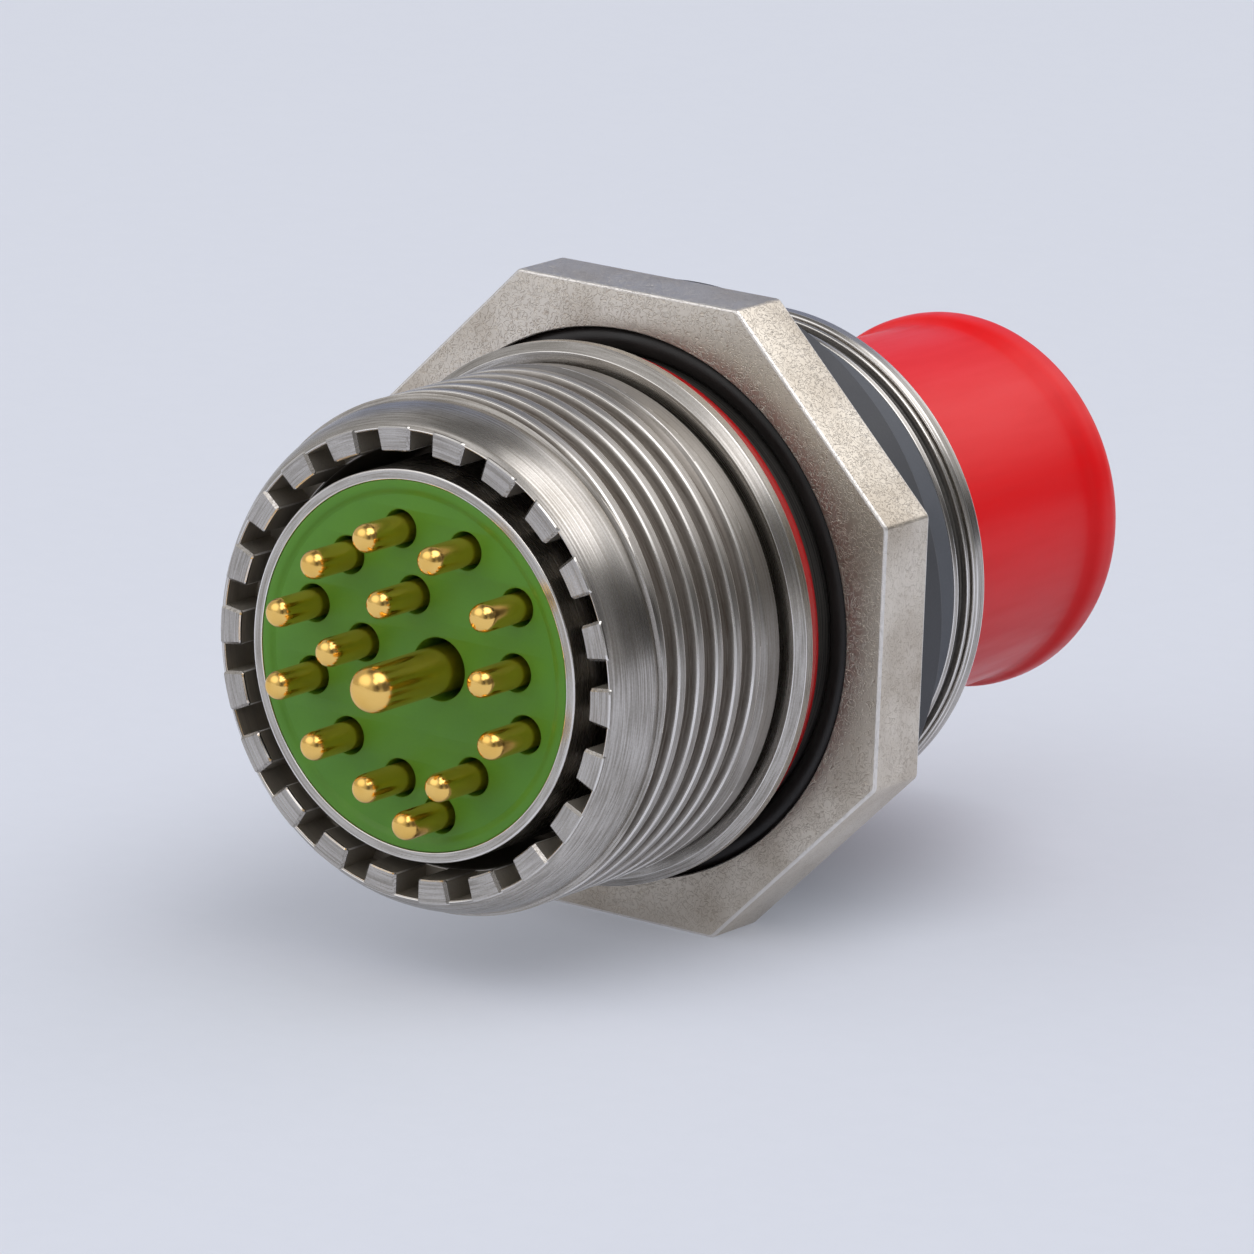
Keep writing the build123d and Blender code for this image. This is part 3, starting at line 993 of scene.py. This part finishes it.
@dataclass
class NutSide(Dresser):
    """Octagonal jam nut."""

    apothem: float = 17.4
    sides: int = 8
    corner_round: float = 0.45
    corner_steps: int = 6
    flat_steps: int = 18
    edge: float = 0.16
    edge_turns: tuple[float, ...] = (0, 22.5, 45, 67.5, 90)
    start: float = 18.2
    end: float = 22.3
    bore_r: float = 15.15
    bore_edge: float = 0.06
    groove_r: float = 15.28
    groove_start: float = 18.3
    groove_end: float = 19.92

    def octagon(self, inset: float, station: float) -> Loop:
        """Loop round the nut with rounded corners, drawn in from the flats.

        Args:
            inset: how far in, in millimetres.
            station: place along the axis in millimetres.

        Returns:
            The points in metres.
        """
        half = math.pi / self.sides
        apothem = self.apothem - inset
        tip = apothem / math.cos(half) - self.corner_round * (1 / math.cos(half) - 1)

        def towards(turn: float, reach: float) -> Vector:
            """Place across the axis at an angle and a distance."""
            return Vector((math.cos(turn), math.sin(turn))) * reach

        spots: list[Vector] = []
        for corner in range(self.sides):
            middle = half + corner * math.pi / 4
            centre = towards(middle, tip - self.corner_round)
            for step in range(self.corner_steps + 1):
                turn = middle + (step / self.corner_steps - 0.5) * math.pi / 4
                spots.append(centre + towards(turn, self.corner_round))
            next_centre = towards(middle + math.pi / 4, tip - self.corner_round)
            normal = towards(middle + half, self.corner_round)
            for step in range(1, self.flat_steps):
                spots.append((centre + normal).lerp(next_centre + normal, step / self.flat_steps))
        return [(spot.x * MM, station * MM, spot.y * MM) for spot in spots]

    def ring(self, radius: float, station: float) -> Loop:
        """Circle with its points at the same angles as those of the octagon."""
        return [around(radius, station, math.atan2(up, across)) for across, _, up in self.octagon(0.0, station)]

    def build(self, nickel: Material) -> None:
        """Makes the nut.

        Args:
            nickel: its finish.
        """
        edge = self.edge
        wide = self.bore_r + self.bore_edge
        loops = [self.ring(self.bore_r, self.start + self.bore_edge), self.ring(wide, self.start)]
        for turn in self.edge_turns:
            sunk = math.radians(turn)
            loops.append(self.octagon(edge * (1 - math.sin(sunk)), self.start + edge * (1 - math.cos(sunk))))
        for turn in self.edge_turns:
            risen = math.radians(turn)
            loops.append(self.octagon(edge * (1 - math.cos(risen)), self.end - edge * (1 - math.sin(risen))))
        for radius, station in (
            (wide, self.end),
            (self.bore_r, self.end - self.bore_edge),
            (self.bore_r, self.groove_end),
            (self.groove_r, self.groove_end),
            (self.groove_r, self.groove_start),
            (self.bore_r, self.groove_start),
        ):
            loops.append(self.ring(radius, station))
        self.hand_over(skin("jam_nut_octagon", loops, 30.0), nickel, "nut_nickel", ["jam_nut"])


@dataclass
class NutSeal(Dresser):
    """O-ring in the nut's mouth."""

    centre_r: float = 14.47
    section_r: float = 0.76
    station: float = 19.11
    steps: int = 28

    def build(self, rubber: Material) -> None:
        """Makes the O-ring.

        Args:
            rubber: its finish.
        """
        turns = [math.tau * step / self.steps for step in range(self.steps)]
        outline = [
            (self.centre_r + self.section_r * math.cos(turn), self.station + self.section_r * math.sin(turn))
            for turn in turns
        ]
        self.hand_over(turned("nut_o_ring_cord", outline, 224), rubber, "black_rubber", ["nut_o_ring"])


@dataclass
class Trim(Dresser):
    """Rings round the shell, each by its corners: red band, panel seal and the rubber ring on the tail."""

    band: tuple[Corner, ...] = (
        (13.85, 15.5, 0.0),
        (14.44, 15.5, 0.1),
        (14.5, 16.1, 0.4),
        (14.42, 16.75, 0.12),
        (13.85, 16.75, 0.0),
    )
    seal: tuple[Corner, ...] = (
        (15.15, 22.35, 0.0),
        (16.7, 22.35, 0.12),
        (16.7, 25.15, 0.2),
        (16.2, 25.15, 0.05),
        (16.2, 23.5, 0.0),
        (15.15, 23.5, 0.0),
    )
    tail: tuple[Corner, ...] = ((12.9, 25.15, 0.0), (13.85, 25.15, 0.1), (13.85, 30.5, 0.2), (12.9, 30.5, 0.0))

    def build(self, red: Material, slate: Material, pale_slate: Material) -> None:
        """Makes the three rings.

        Args:
            red: finish of the band.
            slate: finish of the panel seal.
            pale_slate: finish of the ring on the tail.
        """
        for name, corners, sides, finish, slot, node in (
            ("indicator_band_red", self.band, 224, red, "red_band", "indicator_band"),
            ("panel_seal_moulded", self.seal, 256, slate, "slate_rubber", "panel_seal"),
            ("groove_seal_moulded", self.tail, 224, pale_slate, "slate_rubber", "groove_seal"),
        ):
            self.hand_over(turned(name, eased(corners), sides), finish, slot, [node])


@dataclass
class RearAdapter(Dresser):
    """Ridged shoulder, thread into the shell and barrel under the cap."""

    bore_r: float = 7.5
    neck_r: float = 11.85
    start: float = 27.65
    neck_end: float = 30.55
    # Corners of the two ridges and of the groove between them
    ridges: tuple[Corner, ...] = (
        (13.80, 30.55, 0.1),
        (13.84, 30.93, 0.1),
        (13.40, 30.98, 0.08),
        (13.40, 31.72, 0.08),
        (13.84, 31.77, 0.1),
        (13.84, 32.03, 0.1),
        (13.60, 32.07, 0.06),
        (13.60, 32.23, 0.06),
    )
    shoulder_r: float = 14.04
    shoulder_end: float = 33.20
    barrel_r: float = 9.5
    barrel_pitch: float = 1.0
    barrel_depth: float = 0.35
    barrel_start: float = 34.2
    barrel_stop: float = 44.6
    end: float = 45.4

    def build(self, nickel: Material) -> None:
        """Makes the adapter, with a shallow thread on its barrel.

        Args:
            nickel: its finish.
        """
        barrel: list[Corner] = []
        station = self.barrel_start
        while station < self.barrel_stop:
            valley = (self.barrel_r - self.barrel_depth, station + 0.5 * self.barrel_pitch, 0.1)
            barrel += [(self.barrel_r, station, 0.0), valley]
            station += self.barrel_pitch
        outline = eased(
            [
                (self.bore_r, self.start, 0.1),
                (self.neck_r, self.start, 0.1),
                (self.neck_r, self.neck_end, 0.0),
                *self.ridges,
                (self.shoulder_r - 0.14, 32.26, 0.06),
                (self.shoulder_r, 32.45, 0.1),
                (self.shoulder_r - 0.04, self.shoulder_end, 0.12),
                (self.barrel_r, self.shoulder_end, 0.1),
                *barrel,
                (self.barrel_r, 45.1, 0.0),
                (self.barrel_r, self.end, 0.15),
                (self.bore_r, self.end, 0.15),
            ]
        )
        self.hand_over(turned("rear_adapter_turned", outline, 224), nickel, "satin_nickel", ["rear_adapter"])


@dataclass
class DustCap(Dresser):
    """Push-on cap with a rounded bead round its closed end."""

    mouth: float = 33.25
    end: float = 52.15
    floor: float = 1.2
    mouth_r: float = 10.6
    waist_r: float = 10.2
    bead_r: float = 10.7
    wall_r: float = 9.55

    def build(self, red: Material) -> None:
        """Makes the cap.

        Args:
            red: its finish.
        """
        outline = eased(
            [
                (0.0, self.end - self.floor, 0.0),
                (self.wall_r, self.end - self.floor, 0.4),
                (self.wall_r, self.mouth, 0.15),
                (self.mouth_r, self.mouth, 0.2),
                (self.waist_r, self.end - 3.2, 0.9),
                (self.waist_r + 0.12, self.end - 2.75, 0.3),
                (self.bead_r, self.end - 2.2, 0.5),
                (self.bead_r, self.end - 0.75, 0.7),
                (self.bead_r - 0.55, self.end - 0.12, 0.6),
                (self.bead_r - 1.5, self.end, 0.5),
                (0.0, self.end, 0.0),
            ],
            6,
        )
        self.hand_over(turned("dust_cap_moulded", outline, 224), red, "red_cap", ["dust_cap"])


@dataclass
class Insert(Dresser):
    """Insert sleeve, green face with its recessed holes, and the gold contacts."""

    # Contact places (right, up) as shares of the face's radius
    sites: tuple[Point, ...] = (
        (-0.119, 0.728),
        (-0.456, 0.526),
        (0.310, 0.681),
        (-0.676, 0.224),
        (-0.016, 0.387),
        (0.657, 0.437),
        (-0.340, 0.068),
        (-0.667, -0.171),
        (0.658, 0.083),
        (-0.422, -0.459),
        (0.736, -0.239),
        (-0.072, -0.626),
        (0.405, -0.530),
        (0.197, -0.777),
    )
    power_site: Point = (0.161, 0.012)
    face_r: float = 9.95
    face_end: float = 3.0
    plate_r: float = 9.55
    plate_start: float = 0.16
    plate_edge: float = 0.07
    lip: tuple[Corner, ...] = (
        (9.05, 0.19, 0.0),
        (9.30, 0.13, 0.2),
        (9.50, 0.02, 0.2),
        (9.72, 0.0, 0.1),
        (9.99, 0.03, 0.1),
        (9.99, 0.6, 0.0),
        (9.95, 0.6, 0.0),
        (9.95, 3.0, 0.0),
        (9.05, 3.0, 0.0),
    )
    sleeve: tuple[Corner, ...] = (
        (10.0, 0.0, 0.05),
        (10.57, 0.0, 0.10),
        (10.57, 9.9, 0.0),
        (10.85, 10.25, 0.05),
        (10.85, 11.9, 0.0),
        (11.25, 11.9, 0.0),
        (11.25, 12.9, 0.0),
        (10.0, 12.9, 0.0),
    )
    hole_r: float = 1.03
    power_hole_r: float = 1.70
    pin_r: float = 0.79
    pin_reach: float = 3.4
    pin_body_r: float = 1.02
    power_r: float = 1.27
    power_reach: float = 6.55
    power_body_r: float = 1.60
    body_start: float = 15.15
    body_end: float = 24.15
    dome_steps: int = 14
    dome_bluntness: float = 0.8

    def place(self, site: Point) -> Point:
        """Millimetre place of a contact from its share of the face's radius."""
        return (site[0] * self.face_r, site[1] * self.face_r)

    def pin_outline(self, radius: float, reach: float, body_r: float) -> list[Point]:
        """Outline of a contact: dome, shank, shoulder and crimp body.

        Args:
            radius: radius of the shank in millimetres.
            reach: how far the tip stands in front of the mating face, in millimetres.
            body_r: radius of the crimp body in millimetres.

        Returns:
            The points in millimetres, from the tip to the back.
        """
        turns = [math.pi / 2 * step / self.dome_steps for step in range(self.dome_steps + 1)]
        blunt = self.dome_bluntness
        dome = [(radius * math.sin(turn) ** blunt, radius * (1 - math.cos(turn) ** blunt) - reach) for turn in turns]
        shank = [(radius, 1.0), (radius, self.body_start)]
        return dome + shank + [(body_r, self.body_start), (body_r, self.body_end), (0.0, self.body_end)]

    def face(self, green: Material) -> None:
        """Makes the green face with its raised rim.

        Args:
            green: its finish.
        """
        holes = [(*self.place(site), self.hole_r) for site in self.sites]
        holes.append((*self.place(self.power_site), self.power_hole_r))
        plate = holed_disc("face_plate", self.plate_r, holes, self.plate_start, self.face_end, self.plate_edge)
        lip = turned("face_lip", eased(self.lip), 224)
        self.hand_over(joined("green_face", [plate, lip]), green, "green_rubber", ["face_seal"])

    def contacts(self, gold: Material) -> None:
        """Makes the fourteen small contacts on their sites, and the large one.

        Args:
            gold: their finish.
        """
        pin = turned("pin", self.pin_outline(self.pin_r, self.pin_reach, self.pin_body_r), 40)
        spots = bpy.data.meshes.new("sites")
        spots.from_pydata([(x * MM, 0.0, z * MM) for x, z in map(self.place, self.sites)], [], [])
        group = modified(placed("pin_contacts", spots), sites_tree(), {"Contact": pin, "Material": gold})
        bpy.data.objects.remove(pin)
        self.hand_over(group, gold, "gold_plate", [f"contact_{number:02d}" for number in range(1, 15)])
        outline = self.pin_outline(self.power_r, self.power_reach, self.power_body_r)
        power = turned("power_contact_pin", outline, 64, self.place(self.power_site))
        self.hand_over(power, gold, "gold_plate", ["power_contact"])

    def build(self, bright: Material, green: Material, gold: Material) -> None:
        """Makes the sleeve, the face and the contacts.

        Args:
            bright: finish of the sleeve.
            green: finish of the face.
            gold: finish of the contacts.
        """
        sleeve = turned("insert_sleeve_turned", eased(self.sleeve), 224)
        self.hand_over(sleeve, bright, "bright_nickel", ["insert_sleeve"])
        self.face(green)
        self.contacts(gold)


def dress_inside(finishes: dict[str, Material]) -> None:
    """Gives the hidden CAD nodes their finishes.

    Args:
        finishes: finish of each node by name.
    """
    for node, finish in finishes.items():
        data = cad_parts[node].data
        data.materials.clear()
        data.materials.append(finish)
        LOG.info("%s: CAD solid", node)


# Studio


@dataclass(frozen=True)
class Field:
    """Soft round field of the studio's walls: full within the inner angle, nothing past the outer one."""

    azimuth: float
    elevation: float
    inner: float
    outer: float
    strength: float

    def level(self, tree: Tree, direction: Socket) -> Socket:
        """Strength of the field in a direction.

        Args:
            tree: the world's tree.
            direction: the direction that is looked in.

        Returns:
            The strength.
        """
        axis = towards(self.azimuth, self.elevation)
        near = add(tree, "ShaderNodeVectorMath", (direction, axis), "Value", operation="DOT_PRODUCT")
        outer, inner = math.cos(math.radians(self.outer)), math.cos(math.radians(self.inner))
        return add(tree, RANGE, (near, outer, inner, 0.0, self.strength), **SMOOTH)


def towards(azimuth: float, elevation: float) -> Vector:
    """Direction in the studio.

    Args:
        azimuth: angle in degrees from the front, to the right.
        elevation: angle in degrees above the floor.

    Returns:
        The direction, of length 1.
    """
    turn, lift = math.radians(azimuth), math.radians(elevation)
    return Vector((math.sin(turn) * math.cos(lift), -math.cos(turn) * math.cos(lift), math.sin(lift)))


@dataclass
class Studio:
    """Pale floor, soft light and the photograph's camera."""

    azimuth: float = 35.260
    elevation: float = 14.554
    roll: float = 2.119
    distance: float = 525.680
    shift_right: float = -11.293
    shift_up: float = -2.082
    lens: float = 287.08
    floor_z: float = -17.4
    floor_half: float = 3.0  # metres
    paper: str = "#BDC0C9"
    paper_far: str = "#B9BCC4"
    depth_across: float = 0.57  # how much a step to the left and a step back count as depth
    depth_back: float = 0.82
    fade: Point = (-0.05, 0.30)  # depths in metres between which the paper changes
    fibre: str = "#A6ABB4"
    fibre_mm: float = 1.5
    floor_glow: float = 0.34
    glow: str = "#D7DBE6"
    shade: str = "#5E616A"
    shade_place: Spot = (0.0, -33.0, 0.0)
    shade_inner: float = 11.0
    shade_outer: float = 26.0
    shade_most: float = 0.85
    wall: str = "#FDFDFF"
    cool_wall: str = "#C6D0EE"
    wall_level: float = 0.50
    least_level: float = 0.07
    fields: tuple[Field, ...] = (
        Field(97, 67, 14, 32, 1.9),
        Field(36, 47, 6, 18, 1.3),
        Field(162, 36, 12, 30, 0.90),
        Field(-145, 14, 12, 36, 0.04),
        Field(-32, 34, 14, 36, 0.75),
        Field(143, 9, 13, 30, -0.46),
        Field(32, 12, 8, 24, -0.30),
        Field(98, 22, 12, 32, -0.38),
        Field(52, 24, 9, 22, -0.28),
        Field(-135, 72, 10, 30, -0.35),
    )
    cool_field: Field = Field(-148, 18, 12, 34, 1.0)

    def camera(self) -> None:
        """Sets the camera at the photograph's viewing angle."""
        turn, roll = math.radians(self.azimuth), math.radians(self.roll)
        back = towards(self.azimuth, self.elevation)
        right = Vector((math.cos(turn), math.sin(turn), 0.0))
        up = back.cross(right)
        rolled_right = math.cos(roll) * right + math.sin(roll) * up
        rolled_up = -math.sin(roll) * right + math.cos(roll) * up
        spot = (-self.shift_right * rolled_right - self.shift_up * rolled_up + self.distance * back) * MM
        camera = placed("camera", bpy.data.cameras.new("camera"))
        camera.data.sensor_width = 36.0
        camera.data.lens = self.lens
        camera.data.clip_start = 0.01
        camera.data.clip_end = 20.0
        camera.matrix_world = Matrix.Translation(spot) @ Matrix((rolled_right, rolled_up, back)).transposed().to_4x4()
        bpy.context.scene.camera = camera

    def floor(self) -> None:
        """Makes the pale floor, a little darker further back, with a soft painted contact shadow under the part."""
        half, level = self.floor_half, self.floor_z * MM
        data = bpy.data.meshes.new("floor")
        corners = [(-half, -half, level), (half, -half, level), (half, half, level), (-half, half, level)]
        data.from_pydata(corners, [], [(0, 1, 2, 3)])
        material, tree, shader, place = new_material("studio_paper")
        parts = add(tree, "ShaderNodeSeparateXYZ", (place,)).node.outputs
        across = add(tree, MATH, (parts[0], self.depth_across), **MULTIPLY)
        depth = add(tree, MATH, (add(tree, MATH, (parts[1], self.depth_back), **MULTIPLY), across), **SUBTRACT)
        # Painted shade: the paper is a little darker further back.
        fade = add(tree, RANGE, (depth, *self.fade, 0.0, 1.0), **SMOOTH)
        fibre = add(tree, NOISE, {"Vector": place, "Scale": 1 / (self.fibre_mm * MM), "Detail": 4.0})
        base = add(tree, MIX, {0: fade, 6: self.paper, 7: self.paper_far}, 2, **COLOUR)
        fibres = add(tree, RANGE, (fibre, 0.3, 0.7, 0.0, 0.05), **SMOOTH)
        base = add(tree, MIX, {0: fibres, 6: base, 7: self.fibre}, 2, **COLOUR)
        # Painted contact shadow: the paper's colour darkens under the part, which deepens the contact shadow.
        shadow_centre = tuple(side * MM for side in self.shade_place)
        centred = add(tree, "ShaderNodeMapping", {"Vector": place, "Location": shadow_centre})
        away = add(tree, "ShaderNodeVectorMath", (centred,), "Value", operation="LENGTH")
        limits = (self.shade_inner * MM, self.shade_outer * MM, self.shade_most, 0.0)
        shade = add(tree, RANGE, (away, *limits), **SMOOTH)
        # A third of the pale background is seen, never cast: the paper keeps its shadow and lights nothing.
        path = add(tree, "ShaderNodeLightPath").node.outputs
        mirrored = add(tree, MATH, (path["Is Glossy Ray"], path["Is Transmission Ray"]), **MAXIMUM)
        seen = add(tree, MATH, (path["Is Camera Ray"], mirrored), **MAXIMUM)
        # The painted shadow also dims the glow.
        glow = add(tree, MATH, (add(tree, MATH, (1.0, shade), **SUBTRACT), self.floor_glow), **MULTIPLY)
        feed(
            shader,
            {
                "Base Color": add(tree, MIX, {0: shade, 6: base, 7: self.shade}, 2, **COLOUR),
                "Roughness": 0.9,
                "Specular IOR Level": 0.1,
                "Emission Color": self.glow,
                "Emission Strength": add(tree, MATH, (seen, glow), **MULTIPLY),
            },
        )
        data.materials.append(material)
        placed("floor", data)

    def world(self) -> None:
        """Even studio walls with soft bright and dark fields."""
        world = bpy.data.worlds.new("studio")
        bpy.context.scene.world = world
        world.use_nodes = True
        tree = world.node_tree
        direction = add(tree, "ShaderNodeTexCoord", (), "Generated")
        level: Any = self.wall_level
        for field in self.fields:
            level = add(tree, MATH, (field.level(tree, direction), level), **ADD)
        # The wall behind and to the left is cooler than the others.
        tint = {0: self.cool_field.level(tree, direction), 6: self.wall, 7: self.cool_wall}
        strength = add(tree, MATH, (level, self.least_level), **MAXIMUM)
        feed(tree.nodes["Background"], {"Color": add(tree, MIX, tint, 2, **COLOUR), "Strength": strength})

    def build(self) -> None:
        """Sets up the studio."""
        self.camera()
        self.floor()
        self.world()
        bpy.context.scene.view_settings.view_transform = "Standard"


def main() -> None:
    """Builds the pieces in order, from the shell outwards."""
    logging.basicConfig(level=logging.INFO, format="%(message)s")
    # Films in the recesses. Their colours are painted shade in the thread and the land, the bore, the neck and the
    # relief, partly over a real brown film in the thread valleys; on the slot floors a paler film is a painted lift
    # of their shade.
    recesses = (
        Recess(13.66, 13.98, 3.3, 13.92, least=0.28, film_and_shade="#594D41"),  # thread and the land behind it
        Recess(11.6, 11.7, 0.3, 30.0, most=0.85, film_and_shade="#7C7364"),  # inside of the teeth and the bore
        Recess(12.62, 12.68, 0.20, 2.9, most=0.85, film_and_shade="#A39B8D"),  # floors of the slots
        Recess(14.0, 14.2, 16.7, 20.1, film_and_shade="#17130F"),  # neck
        Recess(13.3, 13.7, 13.9, 14.4, most=0.8, film_and_shade="#2E2922"),  # relief
    )
    # Painted shade in the groove between the adapter's ridges.
    ridge_groove = Recess(13.5, 13.75, 30.9, 32.3, film_and_shade="#262422")
    shell_nickel = TurnedNickel("satin_nickel_turned", recesses=recesses).build()
    adapter_nickel = TurnedNickel("satin_nickel_adapter", recesses=(ridge_groove,)).build()
    nut_nickel = EtchedNickel().build()
    bright_nickel = TurnedNickel("bright_nickel_sleeve", "#CEC9C1", "#958E84", roughness=0.26).build()
    slate_rubber = Elastomer("fluorosilicone_slate", "#424347", "#57585D").build()
    pale_rubber = Elastomer("fluorosilicone_pale_slate", "#55585E", "#6A6D74").build()
    black_rubber = Elastomer("nitrile_black", "#1E1A18", "#352E2B", roughness=0.46).build()
    green_rubber = Elastomer("silicone_green", "#589322", "#66A12C", roughness=0.45, painted_indirect_colour="#86862C").build()
    enamel = MouldedPlastic("enamel_red_band", "#C41A1E", "#B01216", roughness=0.14, sheen=0.9, translucency=0.0)
    red_band = enamel.build()
    red_cap = MouldedPlastic("polyethylene_red_cap", "#FB141A", "#EE0E14").build()
    dark_insulator = Elastomer("epoxy_insulator_dark", "#15170F", "#25281F").build()
    gold = GoldPlate().build()

    Studio().build()
    Shell(Body.RECEPTACLE).build(shell_nickel)
    NutSide(Body.JAM_NUT).build(nut_nickel)
    NutSeal(Body.NUT_SEAL).build(black_rubber)
    Trim(Body.RECEPTACLE).build(red_band, slate_rubber, pale_rubber)
    RearAdapter(Body.RECEPTACLE).build(adapter_nickel)
    DustCap(Body.DUST_CAP).build(red_cap)
    Insert(Body.RECEPTACLE).build(bright_nickel, green_rubber, gold)
    dress_inside(
        {
            "front_insulator": dark_insulator,
            "rear_insulator": dark_insulator,
            "wire_grommet": green_rubber,
            "compression_ring": bright_nickel,
            "contact_clips": gold,
        }
    )


if __name__ == "__main__":
    main()
